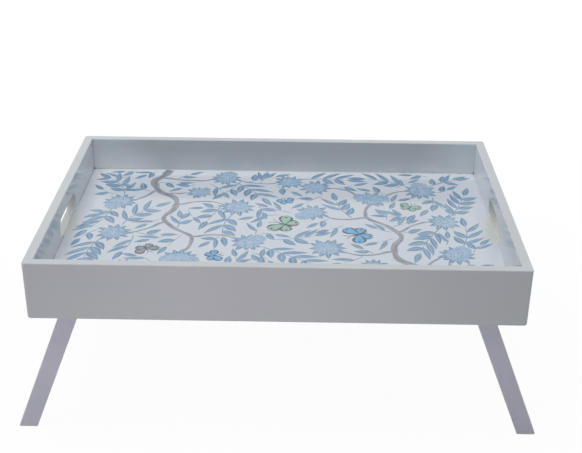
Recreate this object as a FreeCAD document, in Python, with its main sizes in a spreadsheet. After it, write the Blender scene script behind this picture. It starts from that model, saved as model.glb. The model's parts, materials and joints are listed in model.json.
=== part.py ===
import FreeCAD, Part
import math
import os
import Sketcher

# Driving sizes in millimetres, apart from the splay in degrees
SIZES = {
    # Tray box
    "tray_length": 600.0,
    "tray_width": 400.0,
    "tray_height": 247.0,
    "wall_height": 76.0,
    "wall_thick": 12.0,
    "corner_radius": 4.0,
    "rim_bevel": 0.7,
    "bottom_round": 3.0,
    # Base panel, whose thinner lip sits in a groove of the four walls
    "panel_drop": 48.5,
    "panel_thick": 5.0,
    "panel_side_gap": 0.3,
    "lip_thick": 3.0,
    "groove_deep": 5.0,
    "lip_play": 0.2,
    "lip_edge_gap": 0.5,
    # Hidden splines across the mitred corners
    "spline_thick": 3.0,
    "spline_wide": 9.0,
    "spline_stop": 9.0,
    "spline_play": 0.1,
    # Hand hole through each end wall
    "hole_length": 98.0,
    "hole_high": 25.0,
    "hole_end_radius": 12.0,
    "hole_rise": 1.6,
    "hole_bevel": 1.0,
    # Folding legs
    "leg_wide": 22.0,
    "leg_deep": 20.0,
    "leg_splay": 21.5,
    "pivot_from_end": 52.0,
    "heel_gap": 0.3,
    "foot_round": 2.0,
    "leg_bevel": 1.0,
    # Stretcher between the two legs of a frame
    "stretcher_drop": 88.0,
    "stretcher_wide": 26.0,
    "stretcher_thick": 18.0,
    "stretcher_round": 2.0,
    "tenon_wide": 16.0,
    "tenon_thick": 9.0,
    "tenon_long": 10.0,
    "tenon_play": 0.1,
    "tenon_end_gap": 0.5,
    # Pivot hardware
    "shoulder_radius": 4.0,
    "shaft_play": 0.05,
    "thread_radius": 3.0,
    "thread_long": 7.5,
    "head_radius": 6.5,
    "head_high": 4.5,
    "head_chamfer": 0.6,
    "socket_across": 4.0,
    "socket_deep": 2.5,
    "insert_radius": 4.5,
    "insert_long": 8.5,
    "insert_play": 0.05,
    "insert_end_gap": 0.5,
    "washer_radius": 8.0,
    "washer_thick": 1.0,
    "washer_play": 0.15,
    "side_play": 0.1,
}

# Two coordinates closer than this are the same point
TOLERANCE = 0.001
MITRE_DEGREES = 45
HEXAGON_SIDES = 6
ORIGIN, START, END, CENTRE = -1, 1, 2, 3
UP = FreeCAD.Vector(0, 0, 1)
TOWARDS_BACK = FreeCAD.Vector(0, 1, 0)
TOWARDS_FRONT = FreeCAD.Vector(0, -1, 0)
HALF_TURN = 180
QUARTER_TURN = 90

# Levels above the lower edge of the walls
PANEL_TOP = "(sizes.wall_height - sizes.panel_drop)"
PANEL_UNDERSIDE = f"({PANEL_TOP} - sizes.panel_thick)"
PIVOT_IN_WALL = f"({PANEL_UNDERSIDE} - sizes.heel_gap - sizes.leg_wide / 2)"
# Levels above the floor
WALL_LEVEL = "(sizes.tray_height - sizes.wall_height)"
PIVOT_LEVEL = f"({WALL_LEVEL} + {PIVOT_IN_WALL})"
# Places in plan, from the middle of the tray
PIVOT_ACROSS = "(sizes.tray_length / 2 - sizes.pivot_from_end)"
WALL_INSIDE = "(sizes.tray_width / 2 - sizes.wall_thick)"
LEG_OUTSIDE = f"({WALL_INSIDE} - sizes.washer_thick - sizes.side_play)"
LEG_MIDDLE = f"({LEG_OUTSIDE} - sizes.leg_deep / 2)"
# Length of the screw's shoulder: two washers, the leg and its play on both sides
SHOULDER_LONG = "(sizes.leg_deep + 2 * sizes.washer_thick + 2 * sizes.side_play)"
SPLAY_SINE = "sin(sizes.leg_splay)"
SPLAY_COSINE = "cos(sizes.leg_splay)"

doc = FreeCAD.newDocument("breakfast_tray")
sheet = doc.addObject("Spreadsheet::Sheet", "sizes")
for row, (alias, size) in enumerate(SIZES.items(), 1):
    sheet.set(f"A{row}", alias)
    sheet.set(f"B{row}", str(size))
    sheet.setAlias(f"B{row}", alias)
doc.recompute()

subparts = []


# Bodies, sketches and features

def new_body(label):
    """Start one piece of the tray."""
    body = doc.addObject("PartDesign::Body", label)
    body.Label = label
    subparts.append(body)
    return body


def group(label, pieces):
    """Make one sub-part of several like pieces, which stay separate solids."""
    together = doc.addObject("Part::Compound", label)
    together.Label = label
    together.Links = pieces
    for piece in pieces:
        subparts.remove(piece)
    subparts.append(together)


def place(body, across, along, level, axis=UP, degrees=0):
    """Turn a sub-part about an axis and bind its place to the sizes."""
    body.Placement = FreeCAD.Placement(FreeCAD.Vector(), FreeCAD.Rotation(axis, degrees))
    body.setExpression("Placement.Base.x", across)
    body.setExpression("Placement.Base.y", along)
    body.setExpression("Placement.Base.z", level)


def sketch_on(body, role, name, offset="0"):
    """Attach a sketch to one of the body's own origin planes, moved along its normal."""
    plane = next(item for item in body.Origin.OriginFeatures if item.Role == role)
    sketch = body.newObject("Sketcher::SketchObject", name)
    sketch.AttachmentSupport = (plane, [""])
    sketch.MapMode = "FlatFace"
    sketch.setExpression("AttachmentOffset.Base.z", offset)
    return sketch


def hold(sketch, kind, curve, end, expression):
    """Bind one coordinate of a sketched point, starting from where it is drawn."""
    point = sketch.getPoint(curve, end)
    drawn = point.x if kind == "DistanceX" else point.y
    index = sketch.addConstraint(Sketcher.Constraint(kind, ORIGIN, START, curve, end, drawn))
    sketch.setExpression(f"Constraints[{index}]", expression)


def hold_point(sketch, curve, end, across, up):
    """Bind both coordinates of a sketched point."""
    hold(sketch, "DistanceX", curve, end, across)
    hold(sketch, "DistanceY", curve, end, up)


def join_in_a_loop(sketch, count):
    """Join each curve of an outline to the next one."""
    for curve in range(count):
        sketch.addConstraint(Sketcher.Constraint("Coincident", curve, END, (curve + 1) % count, START))


def polygon(sketch, corners):
    """Draw a closed outline of straight lines through bound corners."""
    count = len(corners)
    turns = [2 * math.pi * number / count for number in range(count)]
    rough = [FreeCAD.Vector(math.cos(turn), math.sin(turn), 0) for turn in turns]
    for curve in range(count):
        sketch.addGeometry(Part.LineSegment(rough[curve], rough[(curve + 1) % count]))
    join_in_a_loop(sketch, count)
    for curve, (across, up) in enumerate(corners):
        hold_point(sketch, curve, START, across, up)


def rectangle(sketch, left, right, bottom, top):
    """Draw a rectangle between four bound coordinates."""
    polygon(sketch, [(left, bottom), (right, bottom), (right, top), (left, top)])


def circle(sketch, across, up, radius):
    """Draw a circle with a bound centre and radius."""
    curve = sketch.addGeometry(Part.Circle(FreeCAD.Vector(), UP, SIZES["thread_radius"]))
    hold_point(sketch, curve, CENTRE, across, up)
    index = sketch.addConstraint(Sketcher.Constraint("Radius", curve, SIZES["thread_radius"]))
    sketch.setExpression(f"Constraints[{index}]", radius)


def pad(body, sketch, length, symmetric=False):
    """Raise a solid from a sketch."""
    feature = body.newObject("PartDesign::Pad", sketch.Name + "_pad")
    feature.Profile = sketch
    feature.setExpression("Length", length)
    feature.SideType = "Symmetric" if symmetric else "One side"
    doc.recompute()
    return feature


def cut_through(body, sketch):
    """Cut a sketch right through the solid, both ways."""
    feature = body.newObject("PartDesign::Pocket", sketch.Name + "_cut")
    feature.Profile = sketch
    feature.Type = "ThroughAll"
    feature.SideType = "Symmetric"
    doc.recompute()
    return feature


def cut_to_depth(body, sketch, depth, along_normal):
    """Cut a blind pocket from a sketch that lies on the solid's face."""
    feature = body.newObject("PartDesign::Pocket", sketch.Name + "_cut")
    feature.Profile = sketch
    feature.Type = "Length"
    feature.Reversed = along_normal
    feature.setExpression("Length", depth)
    doc.recompute()
    return feature


def spin(body, sketch):
    """Turn a half section about the sketch's upright axis."""
    feature = body.newObject("PartDesign::Revolution", sketch.Name + "_turned")
    feature.Profile = sketch
    feature.ReferenceAxis = (sketch, ["V_Axis"])
    doc.recompute()
    return feature


def ease_edges(body, base, wanted, name, radius=None, bevel=None):
    """Round or bevel every edge of the base feature that the wanted test picks."""
    picked = [f"Edge{number}" for number, edge in enumerate(base.Shape.Edges, 1) if wanted(edge)]
    kind = "PartDesign::Fillet" if radius else "PartDesign::Chamfer"
    feature = body.newObject(kind, f"{body.Name}_{name}")
    feature.Base = (base, picked)
    feature.setExpression("Radius" if radius else "Size", radius or bevel)
    doc.recompute()
    return feature


# Tests that pick edges

def same(first, second):
    return abs(first - second) < TOLERANCE


def runs_along_y(edge):
    box = edge.BoundBox
    return same(box.XLength, 0) and same(box.ZLength, 0) and box.YLength > TOLERANCE


def lies_across_y(edge):
    return same(edge.BoundBox.YLength, 0)


def level_at(edge, level):
    return same(edge.BoundBox.ZMin, level) and same(edge.BoundBox.ZMax, level)


def runs_along_wall(edge):
    """True for the wall's long edges and their corner arcs, false for the mitre."""
    return edge.Curve.TypeId == "Part::GeomCircle" or lies_across_y(edge)


# Walls: boards that meet in mitres, with the panel's groove inside
# In a wall's own frame X runs along it, Y inwards from its outer face, Z up from its lower edge

def mitred_plan(sketch, length):
    """Draw a board from above: rounded outer corners, cut where they meet the mitre."""
    half = SIZES[length] / 2
    radius = SIZES["corner_radius"]
    thick = SIZES["wall_thick"]
    mitre = math.radians(MITRE_DEGREES)
    outer = half - radius
    met = FreeCAD.Vector(outer + radius * math.cos(mitre), radius - radius * math.sin(mitre), 0)
    inner = FreeCAD.Vector(half - thick, thick, 0)

    def mirrored(point):
        return FreeCAD.Vector(-point.x, point.y, 0)

    def corner(centre, first, last):
        return Part.ArcOfCircle(Part.Circle(FreeCAD.Vector(centre, radius, 0), UP, radius), first, last)

    down = -math.pi / 2
    sketch.addGeometry(Part.LineSegment(FreeCAD.Vector(-outer, 0, 0), FreeCAD.Vector(outer, 0, 0)))
    sketch.addGeometry(corner(outer, down, down + mitre))
    sketch.addGeometry(Part.LineSegment(met, inner))
    sketch.addGeometry(Part.LineSegment(inner, mirrored(inner)))
    sketch.addGeometry(Part.LineSegment(mirrored(inner), mirrored(met)))
    sketch.addGeometry(corner(-outer, down - mitre, down))
    outside, right_arc, right_mitre, inside, left_mitre, left_arc = range(6)
    join_in_a_loop(sketch, 6)

    outer_end = f"sizes.{length} / 2 - sizes.corner_radius"
    inner_end = f"sizes.{length} / 2 - sizes.wall_thick"
    met_end = f"{outer_end} + sizes.corner_radius * cos({MITRE_DEGREES})"
    hold_point(sketch, outside, START, f"-({outer_end})", "0")
    hold_point(sketch, outside, END, outer_end, "0")
    hold_point(sketch, right_arc, CENTRE, outer_end, "sizes.corner_radius")
    hold_point(sketch, left_arc, CENTRE, f"-({outer_end})", "sizes.corner_radius")
    hold_point(sketch, inside, START, inner_end, "sizes.wall_thick")
    hold_point(sketch, inside, END, f"-({inner_end})", "sizes.wall_thick")
    hold(sketch, "DistanceX", right_mitre, START, met_end)
    hold(sketch, "DistanceX", left_mitre, END, f"-({met_end})")


def spline_slot(body, length, sign):
    """Cut the stopped slot for half of a corner's spline, square into the mitre face."""
    slot = sketch_on(body, "XY_Plane", f"{body.Name}_slot", "sizes.spline_stop")
    deep = "(sizes.spline_wide / 2 + sizes.spline_play)"
    half = "(sizes.spline_thick / 2 + sizes.spline_play)"
    corners = [(f"-{deep}", f"-{half}"), (deep, f"-{half}"), (deep, half), (f"-{deep}", half)]
    lean = f"cos({MITRE_DEGREES})"
    polygon(slot, [
        (f"{sign}(sizes.{length} / 2 - sizes.wall_thick / 2 + ({out} - {side}) * {lean})",
         f"sizes.wall_thick / 2 + ({out} + {side}) * {lean}")
        for out, side in corners])
    cut_to_depth(body, slot, "sizes.wall_height - 2 * sizes.spline_stop", True)


def wall_board(label, length):
    """Make one mitred board with eased edges, the lip's groove and slots for the splines."""
    body = new_body(label)
    plan = sketch_on(body, "XY_Plane", label + "_plan")
    mitred_plan(plan, length)
    board = pad(body, plan, "sizes.wall_height")
    rim = ease_edges(
        body, board,
        lambda edge: level_at(edge, SIZES["wall_height"]) and runs_along_wall(edge),
        "rim", bevel="sizes.rim_bevel")
    ease_edges(
        body, rim,
        lambda edge: level_at(edge, 0) and runs_along_wall(edge)
        and edge.BoundBox.YMax < SIZES["wall_thick"] - TOLERANCE,
        "bottom", radius="sizes.bottom_round")
    groove = sketch_on(body, "YZ_Plane", label + "_groove")
    rectangle(
        groove,
        "sizes.wall_thick - sizes.groove_deep", "sizes.wall_thick + sizes.groove_deep",
        PANEL_UNDERSIDE, f"{PANEL_UNDERSIDE} + sizes.lip_thick + sizes.lip_play")
    cut_through(body, groove)
    for sign in ("-", ""):
        spline_slot(body, length, sign)
    return body


def long_wall(label, along, degrees):
    """Make the front or back wall, with blind holes for the pivots' threaded inserts."""
    body = wall_board(label, "tray_length")
    for side, sign in (("left", "-"), ("right", "")):
        hole = sketch_on(body, "XZ_Plane", f"{label}_{side}_insert_hole", "-sizes.wall_thick")
        circle(hole, sign + PIVOT_ACROSS, PIVOT_IN_WALL, "sizes.insert_radius + sizes.insert_play")
        cut_to_depth(body, hole, "sizes.insert_long + sizes.insert_end_gap", True)
    place(body, "0", along, WALL_LEVEL, degrees=degrees)


def end_wall(label, across, degrees):
    """Make an end wall with its long hand hole just above the panel."""
    body = wall_board(label, "tray_width")
    hole = sketch_on(body, "XZ_Plane", label + "_hand_hole")
    hole_bottom = f"{PANEL_TOP} + sizes.hole_rise"
    rectangle(
        hole, "-sizes.hole_length / 2", "sizes.hole_length / 2",
        hole_bottom, f"{hole_bottom} + sizes.hole_high")
    opened = cut_through(body, hole)
    ends = ease_edges(body, opened, runs_along_y, "hole_ends", radius="sizes.hole_end_radius")
    reach = SIZES["hole_length"] / 2 + TOLERANCE
    ease_edges(
        body, ends,
        lambda edge: lies_across_y(edge) and max(-edge.BoundBox.XMin, edge.BoundBox.XMax) < reach,
        "hole_rims", bevel="sizes.hole_bevel")
    place(body, across, "0", WALL_LEVEL, degrees=degrees)


def panel_sheet(body, name, beyond, thick):
    """Raise a sheet that reaches a given way beyond the walls' inner faces."""
    plan = sketch_on(body, "XY_Plane", name)
    half_length = f"(sizes.tray_length / 2 - sizes.wall_thick + {beyond})"
    half_width = f"({WALL_INSIDE} + {beyond})"
    rectangle(plan, f"-{half_length}", half_length, f"-{half_width}", half_width)
    pad(body, plan, thick)


def base_panel():
    """Make the printed panel: its lip sits in the grooves and its face stops at the walls."""
    body = new_body("base_panel")
    panel_sheet(body, "panel_lip", "sizes.groove_deep - sizes.lip_edge_gap", "sizes.lip_thick")
    panel_sheet(body, "panel_face", "-sizes.panel_side_gap", "sizes.panel_thick")
    place(body, "0", "0", f"{WALL_LEVEL} + {PANEL_UNDERSIDE}")


def corner_spline(label, x_sign, y_sign, degrees):
    """Make the flat spline that crosses one mitre."""
    body = new_body(label)
    plan = sketch_on(body, "XY_Plane", label + "_plan")
    rectangle(
        plan, "-sizes.spline_wide / 2", "sizes.spline_wide / 2",
        "-sizes.spline_thick / 2", "sizes.spline_thick / 2")
    pad(body, plan, "sizes.wall_height - 2 * sizes.spline_stop - sizes.spline_play")
    place(
        body,
        f"{x_sign}(sizes.tray_length / 2 - sizes.wall_thick / 2)",
        f"{y_sign}(sizes.tray_width / 2 - sizes.wall_thick / 2)",
        f"{WALL_LEVEL} + sizes.spline_stop", degrees=degrees)


# Leg frames
# A leg is drawn in its own frame as the right-hand one stands open: the pivot is the origin,
# the foot points down and out along +X, and the flat heel beside the pivot rests under the panel

def along_leg(down, out):
    """Give sketch coordinates of a point down the leg and out from its centre line."""
    across = f"({down}) * {SPLAY_SINE} + ({out}) * {SPLAY_COSINE}"
    up = f"-({down}) * {SPLAY_COSINE} + ({out}) * {SPLAY_SINE}"
    return across, up


def leg(label, across, along, inner_face, degrees):
    """Make one leg: rounded top with a square heel, level foot, pivot bore and blind mortise."""
    body = new_body(label)
    half = "sizes.leg_wide / 2"
    outline = sketch_on(body, "XZ_Plane", label + "_outline")
    foot_shift = f"{PIVOT_LEVEL} * {SPLAY_SINE}"
    polygon(outline, [
        (f"({foot_shift} - {half}) / {SPLAY_COSINE}", f"-{PIVOT_LEVEL}"),
        (f"({foot_shift} + {half}) / {SPLAY_COSINE}", f"-{PIVOT_LEVEL}"),
        (f"{half} * (1 - {SPLAY_SINE}) / {SPLAY_COSINE}", half),
        (f"-{half} * (1 + {SPLAY_SINE}) / {SPLAY_COSINE}", half),
    ])
    blank = pad(body, outline, "sizes.leg_deep", symmetric=True)
    top = ease_edges(
        body, blank,
        lambda edge: runs_along_y(edge) and edge.BoundBox.XMax < 0 and edge.BoundBox.ZMin > 0,
        "top", radius=half)
    foot = ease_edges(
        body, top,
        lambda edge: runs_along_y(edge) and edge.BoundBox.XMin > SIZES["leg_wide"],
        "foot", radius="sizes.foot_round")
    ease_edges(body, foot, lies_across_y, "edges", bevel="sizes.leg_bevel")
    bore = sketch_on(body, "XZ_Plane", label + "_pivot_bore")
    circle(bore, "0", "0", "sizes.shoulder_radius + sizes.shaft_play")
    cut_through(body, bore)

    on_back = inner_face == TOWARDS_BACK
    face = "-sizes.leg_deep / 2" if on_back else "sizes.leg_deep / 2"
    mortise = sketch_on(body, "XZ_Plane", label + "_mortise", face)
    high = "sizes.stretcher_drop - sizes.tenon_wide / 2 - sizes.tenon_play"
    deep = "sizes.stretcher_drop + sizes.tenon_wide / 2 + sizes.tenon_play"
    out = "(sizes.tenon_thick / 2 + sizes.tenon_play)"
    polygon(mortise, [
        along_leg(deep, f"-{out}"),
        along_leg(deep, out),
        along_leg(high, out),
        along_leg(high, f"-{out}"),
    ])
    cut_to_depth(body, mortise, "sizes.tenon_long + sizes.tenon_end_gap", on_back)
    place(body, across, along, PIVOT_LEVEL, degrees=degrees)


def stretcher(label, sign, tilt_axis):
    """Make the rail that joins the two legs of a frame, with a tenon at each end."""
    body = new_body(label)
    between = f"2 * ({LEG_OUTSIDE} - sizes.leg_deep)"
    section = sketch_on(body, "XZ_Plane", label + "_section")
    rectangle(
        section, "-sizes.stretcher_thick / 2", "sizes.stretcher_thick / 2",
        "-sizes.stretcher_wide / 2", "sizes.stretcher_wide / 2")
    rail = pad(body, section, between, symmetric=True)
    ease_edges(body, rail, runs_along_y, "edges", radius="sizes.stretcher_round")
    tenon = sketch_on(body, "XZ_Plane", label + "_tenon")
    rectangle(
        tenon, "-sizes.tenon_thick / 2", "sizes.tenon_thick / 2",
        "-sizes.tenon_wide / 2", "sizes.tenon_wide / 2")
    pad(body, tenon, f"{between} + 2 * sizes.tenon_long", symmetric=True)
    across, up = along_leg("sizes.stretcher_drop", "0")
    place(body, f"{sign}({PIVOT_ACROSS} + {across})", "0", f"{PIVOT_LEVEL} + {up}", tilt_axis)
    body.setExpression("Placement.Rotation.Angle", "sizes.leg_splay")


# Pivot hardware
# In its own frame Y runs from the wall's inner face towards the middle of the tray

def ring(label, bore, radius, near_end, far_end):
    """Make a plain ring about the pivot's axis."""
    body = new_body(label)
    section = sketch_on(body, "XY_Plane", label + "_section")
    rectangle(section, bore, radius, near_end, far_end)
    spin(body, section)
    return body


def pivot_screw(label):
    """Make a shoulder screw with a cylindrical head and a hexagon socket."""
    body = new_body(label)
    section = sketch_on(body, "XY_Plane", label + "_section")
    shank = "sizes.thread_radius - sizes.shaft_play"
    head_top = f"({SHOULDER_LONG} + sizes.head_high)"
    polygon(section, [
        ("0", "-sizes.thread_long"),
        (shank, "-sizes.thread_long"),
        (shank, "0"),
        ("sizes.shoulder_radius", "0"),
        ("sizes.shoulder_radius", SHOULDER_LONG),
        ("sizes.head_radius", SHOULDER_LONG),
        ("sizes.head_radius", f"{head_top} - sizes.head_chamfer"),
        ("sizes.head_radius - sizes.head_chamfer", head_top),
        ("0", head_top),
    ])
    spin(body, section)
    socket = sketch_on(body, "XZ_Plane", label + "_socket", f"-{head_top}")
    step = 2 * HALF_TURN / HEXAGON_SIDES
    corner = f"sizes.socket_across / 2 / cos({step / 2})"
    polygon(socket, [
        (f"{corner} * cos({number * step})", f"{corner} * sin({number * step})")
        for number in range(HEXAGON_SIDES)])
    cut_to_depth(body, socket, "sizes.socket_deep", True)
    return body


def threaded_insert(label):
    """Make the insert that takes the screw's thread."""
    return ring(label, "sizes.thread_radius", "sizes.insert_radius", "-sizes.insert_long", "0")


def spacer_washer(label):
    """Make the washer between wall and leg."""
    bore = "sizes.shoulder_radius + sizes.washer_play"
    return ring(label, bore, "sizes.washer_radius", "0", "sizes.washer_thick")


def head_washer(label):
    """Make the washer between leg and screw head."""
    bore = "sizes.shoulder_radius + sizes.washer_play"
    inner_face = f"{SHOULDER_LONG} - sizes.washer_thick"
    return ring(label, bore, "sizes.washer_radius", inner_face, SHOULDER_LONG)


def pivot_pair(label, make, across):
    """Make one kind of pivot hardware for the front and back legs of a frame."""
    front = make(label + "_front")
    back = make(label + "_back")
    place(front, across, f"-{WALL_INSIDE}", PIVOT_LEVEL)
    place(back, across, WALL_INSIDE, PIVOT_LEVEL, degrees=HALF_TURN)
    group(label, [front, back])


# The tray, put together

long_wall("front_wall", "-sizes.tray_width / 2", 0)
long_wall("back_wall", "sizes.tray_width / 2", HALF_TURN)
end_wall("left_end_wall", "-sizes.tray_length / 2", -QUARTER_TURN)
end_wall("right_end_wall", "sizes.tray_length / 2", QUARTER_TURN)
base_panel()
corner_spline("left_front_corner_spline", "-", "-", -MITRE_DEGREES)
corner_spline("left_back_corner_spline", "-", "", MITRE_DEGREES)
corner_spline("right_front_corner_spline", "", "-", MITRE_DEGREES)
corner_spline("right_back_corner_spline", "", "", -MITRE_DEGREES)

# A left-hand leg is a right-hand one turned half round, so its inner face turns with it
leg("left_front_leg", f"-{PIVOT_ACROSS}", f"-{LEG_MIDDLE}", TOWARDS_FRONT, HALF_TURN)
leg("left_back_leg", f"-{PIVOT_ACROSS}", LEG_MIDDLE, TOWARDS_BACK, HALF_TURN)
leg("right_front_leg", PIVOT_ACROSS, f"-{LEG_MIDDLE}", TOWARDS_BACK, 0)
leg("right_back_leg", PIVOT_ACROSS, LEG_MIDDLE, TOWARDS_FRONT, 0)
stretcher("left_stretcher", "-", TOWARDS_BACK)
stretcher("right_stretcher", "", TOWARDS_FRONT)

for side, sign in (("left", "-"), ("right", "")):
    pivot_pair(f"{side}_pivot_screws", pivot_screw, sign + PIVOT_ACROSS)
    pivot_pair(f"{side}_threaded_inserts", threaded_insert, sign + PIVOT_ACROSS)
    pivot_pair(f"{side}_spacer_washers", spacer_washer, sign + PIVOT_ACROSS)
    pivot_pair(f"{side}_head_washers", head_washer, sign + PIVOT_ACROSS)

# Nothing is written until every object is sound

doc.recompute()
for item in doc.Objects:
    if "Invalid" in item.State or "Error" in item.State:
        raise RuntimeError(f"{item.Name} failed: {item.State}")
for subpart in subparts:
    wanted = len(subpart.Links) if subpart.TypeId == "Part::Compound" else 1
    shape = subpart.Shape
    if shape.isNull() or not shape.isValid() or len(shape.Solids) != wanted:
        raise RuntimeError(f"{subpart.Label} is not sound")

os.makedirs("parts", exist_ok=True)
for subpart in subparts:
    subpart.Shape.exportStep(f"parts/{subpart.Label}.step")
    box = subpart.Shape.optimalBoundingBox()
    print(f"{subpart.Label}: {subpart.Shape.Volume:.0f} mm3, X {box.XMin:.1f} to {box.XMax:.1f}, "
          f"Y {box.YMin:.1f} to {box.YMax:.1f}, Z {box.ZMin:.1f} to {box.ZMax:.1f}")
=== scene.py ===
import json
import math
import random

import bpy
import numpy as np
from mathutils import Matrix, Vector

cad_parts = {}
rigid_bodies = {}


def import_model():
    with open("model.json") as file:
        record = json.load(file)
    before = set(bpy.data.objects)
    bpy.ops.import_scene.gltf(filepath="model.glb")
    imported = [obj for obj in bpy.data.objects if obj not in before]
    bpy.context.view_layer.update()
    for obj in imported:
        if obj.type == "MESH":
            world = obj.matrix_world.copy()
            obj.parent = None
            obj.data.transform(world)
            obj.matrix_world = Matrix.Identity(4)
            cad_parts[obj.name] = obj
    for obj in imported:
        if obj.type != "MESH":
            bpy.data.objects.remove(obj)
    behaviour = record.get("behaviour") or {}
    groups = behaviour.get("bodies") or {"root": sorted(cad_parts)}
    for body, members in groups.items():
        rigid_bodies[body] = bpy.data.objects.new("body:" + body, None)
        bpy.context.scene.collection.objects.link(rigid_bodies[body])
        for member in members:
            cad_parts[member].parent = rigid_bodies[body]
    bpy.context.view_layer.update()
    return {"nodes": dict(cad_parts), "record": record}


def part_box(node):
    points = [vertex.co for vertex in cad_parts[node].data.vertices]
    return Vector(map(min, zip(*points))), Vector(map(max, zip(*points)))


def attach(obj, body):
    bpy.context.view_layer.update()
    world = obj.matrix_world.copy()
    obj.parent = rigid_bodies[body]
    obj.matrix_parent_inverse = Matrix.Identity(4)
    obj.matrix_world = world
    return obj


for leftover in list(bpy.data.objects):
    bpy.data.objects.remove(leftover)
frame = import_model()

MM = 0.001

# Places read from the frame
PANEL_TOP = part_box("base_panel")[1].z
FRONT_LOW, FRONT_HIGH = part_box("front_wall")
LEFT_LOW, LEFT_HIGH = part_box("left_end_wall")
RIM = FRONT_HIGH.z
INSIDE_X, OUTSIDE_X = -LEFT_HIGH.x, -LEFT_LOW.x
INSIDE_Y, OUTSIDE_Y = -FRONT_HIGH.y, -FRONT_LOW.y

# Half the straight part of a hand hole's lower edge, just above the panel
HOLE_REACH = 36.5 * MM

# The signs of x and y at the four corners, once round
CORNERS = ((-1, -1), (1, -1), (1, 1), (-1, 1))


def add_object(name, data):
    """Put a mesh, lamp or camera in the scene."""
    made = bpy.data.objects.new(name, data)
    bpy.context.scene.collection.objects.link(made)
    return made


# Colours, written as they look on a screen

def linear(red, green, blue):
    """Turn a screen colour from 0 to 255 into the linear one that shaders use."""
    def one(value):
        value = value / 255
        return value / 12.92 if value <= 0.04045 else ((value + 0.055) / 1.055) ** 2.4
    return (one(red), one(green), one(blue), 1.0)


def darker(colour, share):
    """The same colour at a share of its brightness."""
    return (*(part * share for part in colour[:3]), 1.0)


WALL_GREY = linear(190, 193, 197)
WALL_GREEN = linear(188, 194, 195)
WALL_PAINTED_LIGHT = linear(210, 215, 219)
WALL_PAINTED_LIGHTEST = linear(235, 237, 238)
WEAR_BEIGE = linear(203, 196, 190)
CUT_LIGHT_CREAM = linear(202, 204, 201)
SPECK_BROWN = linear(98, 90, 82)
JOINT_BROWN = linear(136, 130, 122)
BEAD_GREY = linear(203, 207, 213)
HOLE_LIGHT_CREAM = linear(200, 202, 198)
PANEL_WHITE = linear(200, 205, 213)
PANEL_PAINTED_LIGHT = linear(228, 232, 238)
PANEL_UNDER = linear(186, 190, 193)
LEG_GREY = linear(199, 201, 212)
LEAF_BLUES = [
    linear(97, 134, 165), linear(106, 142, 171), linear(89, 128, 160), linear(112, 147, 175),
]
RIB_PALE = linear(164, 186, 207)
STEM_BLUE = linear(112, 147, 177)
BARK = linear(146, 139, 138)
BARK_DARK = linear(117, 108, 106)
BARK_LIGHT = linear(172, 168, 168)
BARK_EDGE = linear(128, 156, 183)
PETAL_BLUES = [linear(140, 168, 194), linear(130, 160, 188), linear(150, 176, 200)]
PETAL_LINE = linear(197, 210, 224)
MINT = linear(140, 182, 156)
SKY = linear(84, 164, 214)
MOTH_GREY = linear(128, 130, 136)
INK = linear(56, 60, 70)
ZINC = linear(200, 200, 198)
BRASS = linear(201, 168, 96)
NYLON = linear(222, 222, 214)
BEECH = linear(205, 175, 138)


# Shader nodes

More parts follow.
